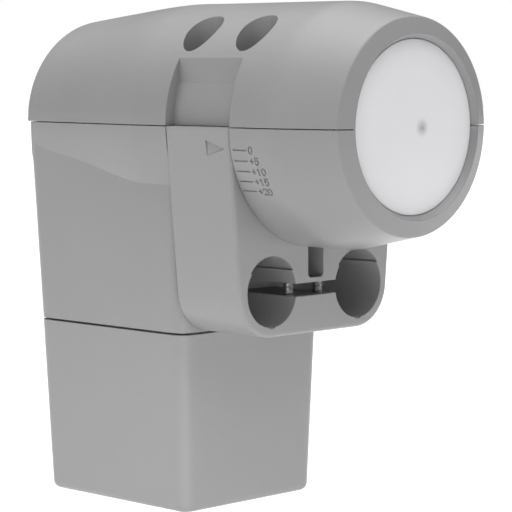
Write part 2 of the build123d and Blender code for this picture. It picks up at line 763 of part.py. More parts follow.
def f_connector(x, y):
    """Threaded coaxial socket pointing down."""
    bottom = casting_bottom
    body = rod_z(connector_r, connector_tip, bottom, x, y)
    body = body + hexagon(connector_hex, plate_z[1] + 0.1, bottom, x, y)
    body = body + rod_z(collar_r, bottom, bottom + casting_wall, x, y)
    for index in range(7):
        z = connector_tip + 2.0 + thread_pitch * index
        groove = rod_z(connector_r + 1, z, z + 0.7, x, y) - rod_z(connector_r - 0.35, z - 1, z + 2, x, y)
        body = body - groove
    return body - rod_z(connector_bore, connector_tip - 1, far, x, y)


def connector_insulators():
    """White insulators in the mouths of the sockets."""
    rings = []
    for x, y in connector_places():
        ring = rod_z(connector_bore - fit_gap, connector_tip + 0.8, casting_bottom + 4, x, y)
        rings.append(ring - rod_z(0.55, -far, far, x, y))
    return rings


def connector_contacts():
    """Centre contacts of the sockets."""
    return [rod_z(0.5, connector_tip + 3, casting_bottom + 6, x, y) for x, y in connector_places()]


def connector_nuts():
    """Hexagonal nuts under the connector plate."""
    nuts = []
    top = plate_z[0] - washer_seal[1]
    for x, y in connector_places():
        nut = hexagon(nut_hex, top - nut_t, top, x, y)
        nuts.append(nut - rod_z(connector_r + fit_gap, -far, far, x, y))
    return nuts


def connector_seals():
    """Sealing washers between the nuts and the plate."""
    seals = []
    for x, y in connector_places():
        seal = rod_z(connector_r + washer_seal[0], plate_z[0] - washer_seal[1], plate_z[0], x, y)
        seals.append(seal - rod_z(connector_r + fit_gap, -far, far, x, y))
    return seals


def connector_plate():
    """Bottom plate of the tower with a collar and the two guide rails of the cover."""
    inside = tower_block(wall + 0.2, 2 * collar_depth)
    body = inside & block(-far, far, -far, far, *plate_z)
    collar = cover_ring(cover_wall + rail_gap, collar_t, tower_bottom - collar_depth, plate_z[0] + 0.5)
    body = body + (collar & inside)
    half = rail_width / 2
    for side in (-1, 1):
        x0, x1 = sorted((side * rail_x, side * (rail_x + rail_t)))
        body = body + block(x0, x1, tower_middle - half, tower_middle + half, rail_end, plate_z[0] + 0.5)
    for x, y in connector_places():
        body = body - rod_z(connector_r + 0.2, plate_z[0] - 1, plate_z[1] + 1, x, y)
    for x, y in plate_screw_places():
        body = body - rod_z(small_screw_r + 0.35, plate_z[0] - 1, plate_z[1] + 1, x, y)
    return body


def plate_screws():
    """Four screws that hold the connector plate."""
    low, high = plate_z
    return [rod_z(2.4, low - 1.6, low, x, y) + rod_z(small_screw_r, low, high + lug_height - 0.6, x, y)
            for x, y in plate_screw_places()]


# ---- connector cover ----
def cover_block(inset=0.0):
    """Tapering block of the cover; inset gives the hollow inside it."""
    top = tower_face(cover_top + 6, *cover_limits(cover_top + 6, inset))
    foot = tower_face(cover_bottom, *cover_limits(cover_bottom, inset))
    return loft([foot, top])


def cover_limits(z, inset):
    """Half width, front, rear and corner radius of the cover at height z."""
    share = (cover_top - z) / cover_height
    values = [a + (b - a) * share for a, b in zip(tower_foot, cover_foot)]
    return values[0] - inset, values[1] + inset, values[2] - inset, corner_r - inset


def cover_ring(inset, thickness, z0, z1):
    """Band that follows the inside of the cover."""
    outer = cover_block(inset)
    inner = cover_block(inset + thickness)
    return (outer - inner) & block(-far, far, -far, far, z0, z1)


def connector_cover():
    """Open-ended sleeve that slides down off the guide rails."""
    body = cover_block() & block(-far, far, -far, far, cover_bottom, cover_top)
    foot_edges = body.edges().filter_by(lambda e: abs(e.center().Z - cover_bottom) < 0.01)
    body = fillet(foot_edges, cover_round)
    inside = cover_block(cover_wall) & block(-far, far, -far, far, cover_bottom + cover_wall, far)
    opening = cover_block(cover_wall + cover_lip)
    opening = opening + Pos(0, 0, -2) * opening
    body = body - inside - opening
    half = rail_width / 2 + rail_gap
    for side in (-1, 1):
        for y0 in (tower_middle - half - rib_t, tower_middle + half):
            x0, x1 = sorted((side * (rail_x - rail_gap), side * barrel_r))
            rib = block(x0, x1, y0, y0 + rib_t, cover_bottom + 1, cover_top - collar_depth - 1.5)
            body = body + (rib & cover_block(0.5))
    return body


# ---- all pieces ----
def pieces():
    """Node name to shape."""
    nodes = {
        "upper_shell": upper_shell(),
        "lower_shell": lower_shell(),
        "shell_screws": Compound(shell_screws()),
        "radome_cap": radome_cap(),
        "cap_seal": cap_seal(),
        "feed_horn": feed_horn(),
        "waveguide": waveguide(),
        "horizontal_probe": probe(False),
        "vertical_probe": probe(True),
        "lnb_casting": lnb_casting(),
        "casting_gasket": casting_gasket(),
        "casting_lid": casting_lid(),
        "casting_screws": Compound(casting_screws()),
        "circuit_board": circuit_board(),
        "board_screws": Compound(board_screws()),
        "board_chips": Compound(board_chips()),
        "shield_can": shield_can(),
        "connector_insulators": Compound(connector_insulators()),
        "connector_contacts": Compound(connector_contacts()),
        "connector_nuts": Compound(connector_nuts()),
        "connector_seals": Compound(connector_seals()),
        "connector_plate": connector_plate(),
        "plate_screws": Compound(plate_screws()),
        "connector_cover": connector_cover(),
        "clamp_bracket": clamp_bracket(),
    }
    for name, (x, y) in zip(("left_front", "left_rear", "right_front", "right_rear"), connector_places()):
        nodes["f_connector_" + name] = f_connector(x, y)
    for name, (x, y) in zip(("left", "right"), clamp_screw_places()):
        nodes["clamp_screw_" + name] = clamp_screw(x, y)
        nodes["clamp_washer_" + name] = clamp_washer(x, y)
    return nodes


def main():
    """Write one STEP file per node, lifted to the tube axes."""
    os.makedirs("parts", exist_ok=True)
    for name, shape in pieces().items():
        placed = Pos(0, 0, tube_drop) * shape
        export_step(placed, f"parts/{name}.step")


main()
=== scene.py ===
import json
import math

import bmesh
import bpy
from mathutils import Matrix, Vector


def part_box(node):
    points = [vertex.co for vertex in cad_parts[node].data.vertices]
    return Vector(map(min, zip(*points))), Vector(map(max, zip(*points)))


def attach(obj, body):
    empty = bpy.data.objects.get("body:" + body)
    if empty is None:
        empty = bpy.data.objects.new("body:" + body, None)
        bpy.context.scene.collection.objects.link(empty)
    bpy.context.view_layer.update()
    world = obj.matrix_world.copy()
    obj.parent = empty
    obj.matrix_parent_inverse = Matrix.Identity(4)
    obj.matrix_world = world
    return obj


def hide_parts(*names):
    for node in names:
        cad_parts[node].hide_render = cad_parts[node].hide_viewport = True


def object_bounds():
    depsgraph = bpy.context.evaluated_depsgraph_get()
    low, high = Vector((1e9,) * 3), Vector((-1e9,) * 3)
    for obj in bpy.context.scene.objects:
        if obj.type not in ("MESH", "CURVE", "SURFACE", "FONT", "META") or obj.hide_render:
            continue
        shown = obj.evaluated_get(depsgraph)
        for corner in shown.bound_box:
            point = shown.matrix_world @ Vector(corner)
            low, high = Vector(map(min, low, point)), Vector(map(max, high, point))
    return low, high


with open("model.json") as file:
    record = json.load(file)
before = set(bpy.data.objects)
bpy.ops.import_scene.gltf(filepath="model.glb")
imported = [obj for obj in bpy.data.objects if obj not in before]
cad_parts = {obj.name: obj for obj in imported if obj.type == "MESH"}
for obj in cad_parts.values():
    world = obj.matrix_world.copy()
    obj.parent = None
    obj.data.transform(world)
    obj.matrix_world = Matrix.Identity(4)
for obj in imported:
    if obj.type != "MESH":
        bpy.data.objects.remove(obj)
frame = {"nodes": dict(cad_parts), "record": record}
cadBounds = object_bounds()
nodes = frame["nodes"]
bodyOf = {name: body for body, names in frame["record"]["behaviour"]["bodies"].items() for name in names}
slotOf = {part["node"]: part["material_slot"] for part in frame["record"]["subparts"]}
mm = 0.001

print("frame loaded:", len(nodes), "nodes")


def linearFromHex(code):
    channels = [int(code[i:i + 2], 16) / 255 for i in (1, 3, 5)]
    linear = [c / 12.92 if c <= 0.04045 else ((c + 0.055) / 1.055) ** 2.4 for c in channels]
    return (*linear, 1.0)


def addNode(tree, kind, settings=None, inputs=None):
    # one node with its settings; an input is a value or another node's socket
    node = tree.nodes.new(kind)
    for name, value in (settings or {}).items():
        setattr(node, name, value)
    for name, value in (inputs or {}).items():
        if isinstance(value, bpy.types.NodeSocket):
            tree.links.new(value, node.inputs[name])
        else:
            node.inputs[name].default_value = value
    return node


cameraSetup = {
    "azimuth": -45.09,         # degrees, from the left front
    "elevation": 5.10,
    "roll": -0.18,
    "lens": 158.2,
    "distance": 717.0,         # mm
    "aim": (-16.18, 10.96, 10.75),
}


def makeCamera(setup):
    azimuth, elevation = math.radians(setup["azimuth"]), math.radians(setup["elevation"])
    back = Vector((math.sin(azimuth) * math.cos(elevation),
                   -math.cos(azimuth) * math.cos(elevation), math.sin(elevation)))
    data = bpy.data.cameras.new("camera")
    data.lens = setup["lens"]
    data.sensor_width = 36.0
    data.clip_start, data.clip_end = 0.01, 50.0
    camera = bpy.data.objects.new("camera", data)
    bpy.context.scene.collection.objects.link(camera)
    turn = (-back).to_track_quat("-Z", "Y").to_matrix() @ Matrix.Rotation(math.radians(setup["roll"]), 3, "Z")
    place = (Vector(setup["aim"]) + back * setup["distance"]) * mm
    camera.matrix_world = Matrix.Translation(place) @ turn.to_4x4()
    bpy.context.scene.camera = camera


makeCamera(cameraSetup)
bpy.context.scene.view_settings.view_transform = "Standard"
print("camera placed")


studio = {
    "backdrop": 1.0,           # what the camera sees behind the object
    "skyBase": 0.09,           # light from the horizon
    "skyTop": 4.2,             # extra light from overhead, as from a large soft ceiling
    "skyFocus": 4.0,           # higher gathers it nearer the zenith
    "floorColour": "#fafafa",
    "floorSize": 12.0,
    "floorClear": 0.006,       # the floor lies this far below the cover when it is slid down
    "lights": (
        # name, place, aim, size in metres, power in watts, spread in degrees (a honeycomb grid narrows it)
        ("leftBox", (-1.3, 0.5, 0.55), (0, 0.03, 0.0), 0.8, 1.5, 180),
        ("frontBox", (0.25, -1.3, 0.75), (0, 0, 0.09), 0.35, 0.3, 180),
        ("lowBox", (-0.36, -0.42, -0.03), (-0.01, 0.05, -0.075), 0.12, 0.021, 15),
    ),
}


def makeWorld(setup):
    world = bpy.data.worlds.new("studio")
    bpy.context.scene.world = world
    world.use_nodes = True
    tree = world.node_tree
    tree.nodes.clear()
    direction = addNode(tree, "ShaderNodeTexCoord").outputs["Generated"]
    height = addNode(tree, "ShaderNodeSeparateXYZ", None, {"Vector": direction}).outputs["Z"]
    upward = addNode(tree, "ShaderNodeMath", {"operation": "MAXIMUM"}, {0: height, 1: 0.0}).outputs[0]
    focus = addNode(tree, "ShaderNodeMath",
        {"operation": "POWER"}, {0: upward, 1: setup["skyFocus"]}).outputs[0]
    strength = addNode(tree, "ShaderNodeMath", {"operation": "MULTIPLY_ADD"},
                       {0: focus, 1: setup["skyTop"], 2: setup["skyBase"]}).outputs[0]
    sky = addNode(tree, "ShaderNodeBackground", None, {"Color": (1, 1, 1, 1), "Strength": strength})
    backdrop = addNode(tree, "ShaderNodeBackground", None,
        {"Color": (1, 1, 1, 1), "Strength": setup["backdrop"]})
    seen = addNode(tree, "ShaderNodeLightPath").outputs["Is Camera Ray"]
    mixed = addNode(tree, "ShaderNodeMixShader", None,
                    {0: seen, 1: sky.outputs[0], 2: backdrop.outputs[0]})
    addNode(tree, "ShaderNodeOutputWorld", None, {"Surface": mixed.outputs[0]})


def makeStudio(setup):
    scene = bpy.context.scene
    for name, place, aim, size, power, spread in setup["lights"]:
        data = bpy.data.lights.new(name, "AREA")
        data.shape = "SQUARE"
        data.size = size
        data.energy = power
        data.spread = math.radians(spread)
        lamp = bpy.data.objects.new(name, data)
        lamp.location = place
        lamp.rotation_euler = (Vector(aim) - Vector(place)).to_track_quat("-Z", "Y").to_euler()
        scene.collection.objects.link(lamp)
    slide = next(j for j in frame["record"]["behaviour"]["joints"] if j["name"] == "cover_slide")
    lowest = cadBounds[0].z - max(slide["range_m"]) - setup["floorClear"]
    half = setup["floorSize"] / 2
    corners = [(-half, -half, lowest), (half, -half, lowest), (half, half, lowest), (-half, half, lowest)]
    mesh = bpy.data.meshes.new("floor")
    mesh.from_pydata(corners, [], [(0, 1, 2, 3)])
    floor = bpy.data.objects.new("floor", mesh)
    scene.collection.objects.link(floor)
    paper = bpy.data.materials.new("matt white paper")
    paper.use_nodes = True
    shader = paper.node_tree.nodes["Principled BSDF"]
    shader.inputs["Base Color"].default_value = linearFromHex(setup["floorColour"])
    shader.inputs["Roughness"].default_value = 0.9
    mesh.materials.append(paper)


makeWorld(studio)
makeStudio(studio)
print("studio lit")


def newMaterial(name):
    material = bpy.data.materials.new(name)
    material.use_nodes = True
    tree = material.node_tree
    place = addNode(tree, "ShaderNodeTexCoord").outputs["Object"]
    return material, tree, tree.nodes["Principled BSDF"], place


def noise(size, detail=2.0, roughness=0.5):
    # settings for a noise whose blotches are about size millimetres across
    return {"Scale": 1 / (size * mm), "Detail": detail, "Roughness": roughness}


def mouldedPlastic(name, setup):
    # injection moulded in an eroded steel tool: an even satin skin with a very fine leathery grain,
    # faint flow clouding, and softly rounded corners that catch the light
    material, tree, shader, place = newMaterial(name)
    clouds = addNode(tree, "ShaderNodeTexNoise", None, {"Vector": place, **noise(setup["cloudSize"], 3.0)})
    stretched = addNode(tree, "ShaderNodeMapping", None, {"Vector": place, "Scale": (1.0, 1.0, 0.12)})
    flow = addNode(tree, "ShaderNodeTexNoise", None,
        {"Vector": stretched.outputs[0], **noise(setup["flowSize"])})
    blend = addNode(tree, "ShaderNodeMath", {"operation": "MULTIPLY_ADD"},
                    {0: flow.outputs["Fac"], 1: 0.35, 2: clouds.outputs["Fac"]})
    tint = addNode(tree, "ShaderNodeMix", {"data_type": "RGBA"}, {0: blend.outputs[0]})
    tint.inputs[6].default_value = linearFromHex(setup["shade"])
    tint.inputs[7].default_value = linearFromHex(setup["colour"])
    grain = addNode(tree, "ShaderNodeTexVoronoi", {"feature": "SMOOTH_F1"},
                    {"Vector": place, "Scale": 1 / (setup["grainSize"] * mm), "Smoothness": 0.6})
    fine = addNode(tree, "ShaderNodeTexNoise", None,
        {"Vector": place, **noise(setup["grainSize"] * 0.6, 3.0, 0.6)})
    skin = addNode(tree, "ShaderNodeMath",
        {"operation": "ADD"}, {0: grain.outputs["Distance"], 1: fine.outputs["Fac"]})
    gloss = addNode(tree, "ShaderNodeMapRange", None, {
        "Value": clouds.outputs["Fac"], "From Min": 0.3, "From Max": 0.7,
        "To Min": setup["roughness"] - setup["glossSpread"],
        "To Max": setup["roughness"] + setup["glossSpread"]})
    corner = addNode(tree, "ShaderNodeBevel", {"samples": 4}, {"Radius": setup["cornerRound"] * mm})
    bump = addNode(tree, "ShaderNodeBump", None, {
        "Height": skin.outputs[0], "Strength": setup["bump"], "Distance": setup["grainDepth"] * mm,
        "Normal": corner.outputs[0]})
    tree.links.new(tint.outputs[2], shader.inputs["Base Color"])
    tree.links.new(gloss.outputs["Result"], shader.inputs["Roughness"])
    tree.links.new(bump.outputs[0], shader.inputs["Normal"])
    shader.inputs["IOR"].default_value = setup["ior"]
    return material


def gateMarkedPlastic(name, setup):
    # the same kind of skin, with the faint grey blush that the gate leaves in the middle of the dome
    material = mouldedPlastic(name, setup)
    tree = material.node_tree
    shader = tree.nodes["Principled BSDF"]
    place = addNode(tree, "ShaderNodeTexCoord").outputs["Object"]
    low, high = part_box("radome_cap")
    middle = (low + high) / 2
    flat = addNode(tree, "ShaderNodeMapping", None, {
        "Vector": place, "Location": (-middle.x, 0.0, -middle.z), "Scale": (1.0, 0.0, 1.0)})
    reach = addNode(tree, "ShaderNodeVectorMath", {"operation": "LENGTH"}, {0: flat.outputs[0]})
    blush = addNode(tree, "ShaderNodeMapRange", {"interpolation_type": "SMOOTHSTEP"}, {
        "Value": reach.outputs["Value"],
        "From Min": setup["gateRadius"] * mm, "From Max": setup["blushRadius"] * mm,
        "To Min": 1.0, "To Max": 0.0})
    skin = shader.inputs["Base Color"].links[0].from_socket
    mixed = addNode(tree, "ShaderNodeMix", {"data_type": "RGBA"}, {0: blush.outputs["Result"], 6: skin})
    mixed.inputs[7].default_value = linearFromHex(setup["gateColour"])
    tree.links.new(mixed.outputs[2], shader.inputs["Base Color"])
    return material


def rubber(name, setup):
    # compression-moulded rubber: dull black with a dusty bloom
    material, tree, shader, place = newMaterial(name)
    bloom = addNode(tree, "ShaderNodeTexNoise", None,
        {"Vector": place, **noise(setup["bloomSize"], 4.0, 0.6)})
    tint = addNode(tree, "ShaderNodeMix", {"data_type": "RGBA"}, {0: bloom.outputs["Fac"]})
    tint.inputs[6].default_value = linearFromHex(setup["colour"])
    tint.inputs[7].default_value = linearFromHex(setup["bloom"])
    bump = addNode(tree, "ShaderNodeBump", None, {
        "Height": bloom.outputs["Fac"], "Strength": 0.4, "Distance": setup["grainDepth"] * mm})
    tree.links.new(tint.outputs[2], shader.inputs["Base Color"])
    tree.links.new(bump.outputs[0], shader.inputs["Normal"])
    shader.inputs["Roughness"].default_value = setup["roughness"]
    shader.inputs["IOR"].default_value = 1.52
    return material


def metal(name, setup):
    # bare or plated metal: crystals tint it slightly, and lay stretches the marks left by its making
    material, tree, shader, place = newMaterial(name)
    crystals = addNode(tree, "ShaderNodeTexVoronoi", None,
        {"Vector": place, "Scale": 1 / (setup["crystalSize"] * mm)})
    value = addNode(tree, "ShaderNodeSeparateColor", None, {"Color": crystals.outputs["Color"]}).outputs[0]
    tint = addNode(tree, "ShaderNodeMix", {"data_type": "RGBA"}, {0: value})
    tint.inputs[6].default_value = linearFromHex(setup["shade"])
    tint.inputs[7].default_value = linearFromHex(setup["colour"])
    drawn = addNode(tree, "ShaderNodeMapping", None, {"Vector": place, "Scale": setup["lay"]})
    marks = addNode(tree, "ShaderNodeTexNoise", None,
        {"Vector": drawn.outputs[0], **noise(setup["markSize"], 4.0, 0.6)})
    gloss = addNode(tree, "ShaderNodeMapRange", None, {
        "Value": marks.outputs["Fac"], "From Min": 0.3, "From Max": 0.7,
        "To Min": setup["roughness"] - setup["glossSpread"],
        "To Max": setup["roughness"] + setup["glossSpread"]})
    bump = addNode(tree, "ShaderNodeBump", None, {
        "Height": marks.outputs["Fac"], "Strength": setup["bump"], "Distance": 0.02 * mm})
    tree.links.new(tint.outputs[2], shader.inputs["Base Color"])
    tree.links.new(gloss.outputs["Result"], shader.inputs["Roughness"])
    tree.links.new(bump.outputs[0], shader.inputs["Normal"])
    shader.inputs["Metallic"].default_value = 1.0
    return material


def boardLaminate(name, setup):
    # glass-fibre laminate under green solder mask: tracks show as lighter, slightly raised lines
    material, tree, shader, place = newMaterial(name)
    turned = addNode(tree, "ShaderNodeMapping", None, {"Vector": place, "Rotation": (math.radians(90), 0, 0)})
    tracks = addNode(tree, "ShaderNodeTexBrick", {"offset": 0.37, "offset_frequency": 3}, {
        "Vector": turned.outputs[0], "Scale": 1 / (setup["trackPitch"] * mm), "Mortar Size": 0.09,
        "Mortar Smooth": 0.1, "Brick Width": 2.6, "Row Height": 0.8})
    weave = addNode(tree, "ShaderNodeTexNoise", None, {"Vector": place, **noise(setup["weaveSize"], 2.0)})
    tint = addNode(tree, "ShaderNodeMix", {"data_type": "RGBA"}, {0: tracks.outputs["Fac"]})
    tint.inputs[6].default_value = linearFromHex(setup["colour"])
    tint.inputs[7].default_value = linearFromHex(setup["track"])
    gloss = addNode(tree, "ShaderNodeMapRange", None,
        {"Value": weave.outputs["Fac"], "To Min": 0.22, "To Max": 0.38})
    bump = addNode(tree, "ShaderNodeBump", None, {
        "Height": tracks.outputs["Fac"], "Strength": 0.6, "Distance": 0.035 * mm})
    tree.links.new(tint.outputs[2], shader.inputs["Base Color"])
    tree.links.new(gloss.outputs["Result"], shader.inputs["Roughness"])
    tree.links.new(bump.outputs[0], shader.inputs["Normal"])
    shader.inputs["IOR"].default_value = 1.55
    return material


# ASA, an outdoor grade: neutral mid grey; the real grain of 0.1 mm is drawn at 0.4 mm so that it shows
greyAsa = {"colour": "#8f8f90", "shade": "#8a8a8b", "cloudSize": 28, "flowSize": 6, "grainSize": 0.4,
           "grainDepth": 0.03, "bump": 0.45, "cornerRound": 0.35, "roughness": 0.36,
           "glossSpread": 0.04, "ior": 1.5}
# the bracket is moulded from a slightly paler batch
bracketAsa = {**greyAsa, "colour": "#929293", "shade": "#8d8d8e", "cornerRound": 0.4, "roughness": 0.38}
# parts inside the tower keep the plainer finish of an untextured tool
innerAsa = {**greyAsa, "colour": "#858586", "shade": "#7e7e7f", "grainSize": 0.7,
            "bump": 0.2, "roughness": 0.3}
# polypropylene passes the signal: milky white and slightly waxy
radomeWhite = {"colour": "#dadadc", "shade": "#d5d5d8", "cloudSize": 24, "flowSize": 9, "grainSize": 0.45,
               "grainDepth": 0.02, "bump": 0.35, "cornerRound": 0.5, "roughness": 0.5,
               "glossSpread": 0.03, "ior": 1.49,
               "gateRadius": 0.7, "blushRadius": 3.4, "gateColour": "#b4b4b9"}
ptfeWhite = {**radomeWhite, "colour": "#efefec", "shade": "#e9e9e5", "cornerRound": 0.1, "roughness": 0.4}
epoxyBlack = {**greyAsa, "colour": "#1d1d1f", "shade": "#161618", "cloudSize": 3, "flowSize": 1.5,
              "grainSize": 0.15,
              "cornerRound": 0.08, "roughness": 0.5, "ior": 1.55}
# EPDM seals
sealRubber = {"colour": "#151515", "bloom": "#242425", "bloomSize": 1.5,
              "grainDepth": 0.03, "roughness": 0.72}
# die-cast alloys are matt with a sparkle of crystals
# the waveguide tube is drawn, so it is bright along its length
castAluminium = {"colour": "#c3c4c6", "shade": "#b4b5b8", "crystalSize": 0.5,
                 "lay": (1, 1, 1), "markSize": 0.4,
                 "roughness": 0.46, "glossSpread": 0.08, "bump": 0.5}
drawnAluminium = {**castAluminium, "colour": "#d0d1d3", "shade": "#c8c9cc", "lay": (1, 0.03, 1),
                  "roughness": 0.26}
castZinc = {**castAluminium, "colour": "#a9abb0", "shade": "#999ba1", "roughness": 0.5}
# passivated zinc on steel screws: bluish silver with a faint spangle
zincSteel = {"colour": "#c9ccd1", "shade": "#b7bbc2", "crystalSize": 0.35, "lay": (1, 1, 1), "markSize": 0.25,
             "roughness": 0.32, "glossSpread": 0.06, "bump": 0.25}
tinnedSteel = {**zincSteel, "colour": "#c8c6c0", "shade": "#bcbab3", "crystalSize": 1.2, "roughness": 0.28}
# nickel is warmer than zinc and brighter; gold flash on the contacts
nickelBrass = {**zincSteel, "colour": "#cfcabf", "shade": "#c4beb1", "crystalSize": 0.8, "roughness": 0.2,
               "glossSpread": 0.05, "bump": 0.15}
goldBrass = {**nickelBrass, "colour": "#e7c068", "shade": "#dcb257", "roughness": 0.22}
# real tracks of 0.2 mm are drawn about 0.4 mm wide so that they show
greenBoard = {"colour": "#0f4a26", "track": "#2f7440", "trackPitch": 2.2, "weaveSize": 0.6}

finishes = {
    "grey_asa": mouldedPlastic("moulded ASA, satin grey", greyAsa),
    "grey_asa_bracket": mouldedPlastic("moulded ASA, satin grey, bracket", bracketAsa),
    "grey_asa_inner": mouldedPlastic("moulded ASA, plain grey, inside", innerAsa),
    "white_radome": gateMarkedPlastic("moulded polypropylene, white", radomeWhite),
    "white_insulator": mouldedPlastic("turned PTFE, white", ptfeWhite),
    "black_epoxy": mouldedPlastic("moulded epoxy, black", epoxyBlack),
    "black_rubber": rubber("moulded EPDM rubber, black", sealRubber),
    "cast_aluminium": metal("die-cast aluminium, as cast", castAluminium),
    "drawn_aluminium": metal("drawn aluminium tube", drawnAluminium),
    "cast_zinc": metal("die-cast zinc alloy, as cast", castZinc),
    "zinc_steel": metal("zinc-plated steel", zincSteel),
    "tinned_steel": metal("tinned sheet steel", tinnedSteel),
    "nickel_brass": metal("nickel-plated brass", nickelBrass),
    "gold_brass": metal("gold-flashed brass", goldBrass),
    "circuit_laminate": boardLaminate("glass-fibre laminate, green solder mask", greenBoard),
}

for name, node in nodes.items():
    node.data.materials.clear()
    node.data.materials.append(finishes[slotOf[name]])
print("finishes made:", len(finishes))


def ringSurface(bm, rows, steps, centre):
    # rows of (height, radius or radius by angle); returns the rings of vertices
    rings = []
    for height, radius in rows:
        ring = []
        for k in range(steps):
            angle = 2 * math.pi * k / steps
            r = radius(angle) if callable(radius) else radius
            x, y = centre[0] + r * math.cos(angle), centre[1] + r * math.sin(angle)
            ring.append(bm.verts.new((x, y, height)))
        rings.append(ring)
    for low, high in zip(rings, rings[1:]):
        for k in range(steps):
            bm.faces.new((low[k], low[(k + 1) % steps], high[(k + 1) % steps], high[k]))
    return rings


def threadRows(start, end, major, depth, pitch, perTurn=6):
    # heights and wavy radii of a rolled thread between two heights, running out at both ends
    count = max(int(abs(end - start) / pitch * perTurn), 4)
    rows = []
    for k in range(count + 1):
        height = start + (end - start) * k / count
        fade = min(1.0, k / perTurn, (count - k) / perTurn)

        def radius(angle, height=height, fade=fade):
            phase = (height / pitch - angle / (2 * math.pi)) % 1.0
            return major - depth * fade * abs(2 * phase - 1)
        rows.append((height, radius))
    return rows


def finishPiece(bm, name, node, smoothAngle=35):
    # turns the mesh into a piece that stands for its node and moves with its body
    bmesh.ops.recalc_face_normals(bm, faces=bm.faces)
    mesh = bpy.data.meshes.new(name)
    bm.to_mesh(mesh)
    bm.free()
    piece = bpy.data.objects.new(name, mesh)
    bpy.context.scene.collection.objects.link(piece)
    mesh.materials.append(finishes[slotOf[node]])
    mesh.shade_smooth()
    mesh.set_sharp_from_angle(angle=math.radians(smoothAngle))
    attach(piece, bodyOf[node])
    return piece


def carve(piece, cutterMesh):
    # takes the cutter out of the piece and keeps the result as plain mesh
    cutter = bpy.data.objects.new("cutter", cutterMesh)
    bpy.context.scene.collection.objects.link(cutter)
    step = piece.modifiers.new("carve", "BOOLEAN")
    step.operation, step.solver, step.object = "DIFFERENCE", "EXACT", cutter
    evaluated = piece.evaluated_get(bpy.context.evaluated_depsgraph_get())
    carved = bpy.data.meshes.new_from_object(evaluated)
    piece.modifiers.clear()
    piece.data = carved
    bpy.data.objects.remove(cutter)


screwLook = {
    "threadPitch": 1.5,        # mm, the travel that the clamp joints give for each turn
    "threadDepth": 0.42,
    "steps": 40,
    "headHeight": 2.4,
    "headRadius": 3.4,
    "shankRadius": 1.75,
    "crownRadius": 1.5,        # flat top of the pan head
    "driverArm": 1.9,          # cross recess, half width
    "driverSlot": 0.42,
    "driverDepth": 1.35,
    "driverRise": 0.5,         # the cutter starts this far outside the head
    "driverTaper": 0.55,       # width of the recess at its bottom, as a share of its mouth
    "tipLength": 3.0,
    "tipFlat": 0.02,
    "tipShape": ((1.2, 0.66), (-0.3, 0.28)),   # mm past the tip's start or before its end, share of shank
    "crownRing": 0.6,
    "bulgeRows": 8,
    "bulgeShare": 0.72,        # share of the head's height that is rounded
    "rimBevel": 0.15,
    "plainShank": 0.6,         # under the head, before the thread starts
}


def addScrew(bm, setup, centre, headEnd, tipEnd):
    # pan head at headEnd and a pointed thread to tipEnd, either way up
    up = 1 if tipEnd > headEnd else -1
    seat = headEnd + up * setup["headHeight"] * mm
    head, shank = setup["headRadius"] * mm, setup["shankRadius"] * mm
    crown = setup["crownRadius"] * mm
    bulge = head - crown
    rows = [(headEnd, setup["tipFlat"] * mm), (headEnd, crown * setup["crownRing"]), (headEnd, crown)]
    for k in range(1, setup["bulgeRows"] + 1):
        angle = math.radians(90 * k / setup["bulgeRows"])
        rise = setup["headHeight"] * mm * setup["bulgeShare"] * (1 - math.cos(angle))
        rows.append((headEnd + up * rise, crown + bulge * math.sin(angle)))
    rim = setup["rimBevel"] * mm
    rows.append((seat - up * rim, head))
    rows.append((seat, head - rim))
    rows.append((seat, shank))
    tipStart = tipEnd - up * setup["tipLength"] * mm
    rows += threadRows(seat + up * setup["plainShank"] * mm, tipStart, shank, setup["threadDepth"] * mm,
                       setup["threadPitch"] * mm)
    for back, share in setup["tipShape"]:
        start = tipStart + up * back * mm if back > 0 else tipEnd + up * back * mm
        rows.append((start, shank * share))
    rows.append((tipEnd, setup["tipFlat"] * mm))
    rings = ringSurface(bm, rows, setup["steps"], centre)
    for ring in (rings[0], rings[-1]):
        bm.faces.new(ring)


def crossCutter(bm, setup, centre, headEnd, up):
    # tapered cross that the driver fits
    arm, half = setup["driverArm"] * mm, setup["driverSlot"] * mm
    top, low = headEnd - up * setup["driverRise"] * mm, headEnd + up * setup["driverDepth"] * mm
    taper = setup["driverTaper"]
    outline = [(arm, half), (half, half), (half, arm), (-half, arm), (-half, half), (-arm, half),
               (-arm, -half), (-half, -half), (-half, -arm), (half, -arm), (half, -half), (arm, -half)]
    wide = [bm.verts.new((centre[0] + x, centre[1] + y, top)) for x, y in outline]
    deep = [bm.verts.new((centre[0] + taper * x, centre[1] + taper * y, low)) for x, y in outline]
    count = len(outline)
    for k in range(count):
        bm.faces.new((wide[k], wide[(k + 1) % count], deep[(k + 1) % count], deep[k]))
    bm.faces.new(wide)
    bm.faces.new(deep)
    bmesh.ops.recalc_face_normals(bm, faces=bm.faces)


def makeScrews(name, node, centres, headEnd, tipEnd):
    bm, cutter = bmesh.new(), bmesh.new()
    up = 1 if tipEnd > headEnd else -1
    for centre in centres:
        addScrew(bm, screwLook, centre, headEnd, tipEnd)
        crossCutter(cutter, screwLook, centre, headEnd, up)
    piece = finishPiece(bm, name, node)
    cutterMesh = bpy.data.meshes.new("cross")
    cutter.to_mesh(cutterMesh)
    cutter.free()
    carve(piece, cutterMesh)
    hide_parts(node)


for side in ("left", "right"):
    node = "clamp_screw_" + side
    low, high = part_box(node)
    centre = ((low.x + high.x) / 2, (low.y + high.y) / 2)
    makeScrews("clampScrew" + side.capitalize(), node, [centre], low.z, high.z)

low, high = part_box("shell_screws")
inset = screwLook["headRadius"] * mm
shellScrewPlaces = [(x, y) for x in (low.x + inset, high.x - inset) for y in (low.y + inset, high.y - inset)]
makeScrews("shellScrews", "shell_screws", shellScrewPlaces, high.z, low.z)
print("screws threaded")


